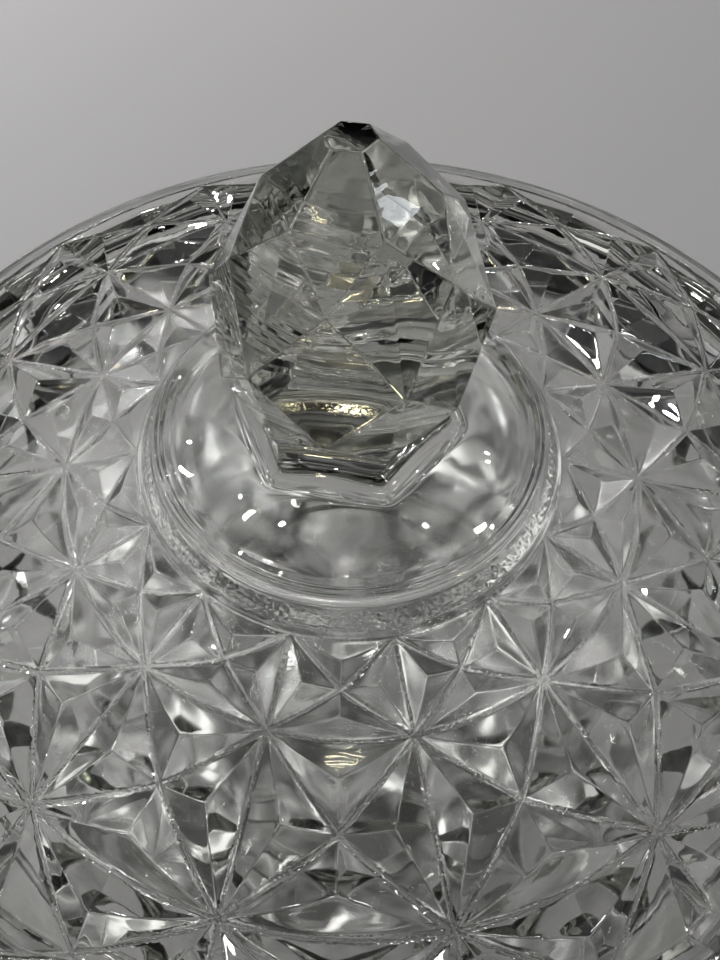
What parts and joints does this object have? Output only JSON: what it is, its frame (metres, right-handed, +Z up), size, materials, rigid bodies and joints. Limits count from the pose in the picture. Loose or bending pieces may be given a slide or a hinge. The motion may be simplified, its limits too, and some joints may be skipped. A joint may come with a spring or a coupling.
{
  "type": "covered candy dish",
  "caption": "Footed pressed-glass candy dish with a star-cut wall and a lift-off lid that carries a faceted knob.",
  "frame": {"origin": "centre of the foot's resting plane, on the dish's turning axis", "axes": "+Z up along the turning axis; -Y is the front, the side the picture was taken from"},
  "size_m": [0.144, 0.144, 0.1236],
  "materials": {
    "lid_glass": "fire-polished clear glass with a faint grey tint",
    "bowl_glass": "fire-polished clear glass with a faint grey tint"
  },
  "bodies": {
    "bowl": {"bowl": "bowl_glass"},
    "lid": {"lid": "lid_glass"}
  },
  "joints": [
    {"name": "lid_lift", "type": "slide", "parent": "bowl", "child": "lid", "axis": [0, 0, 1], "range_m": [0, 0.06]}
  ]
}
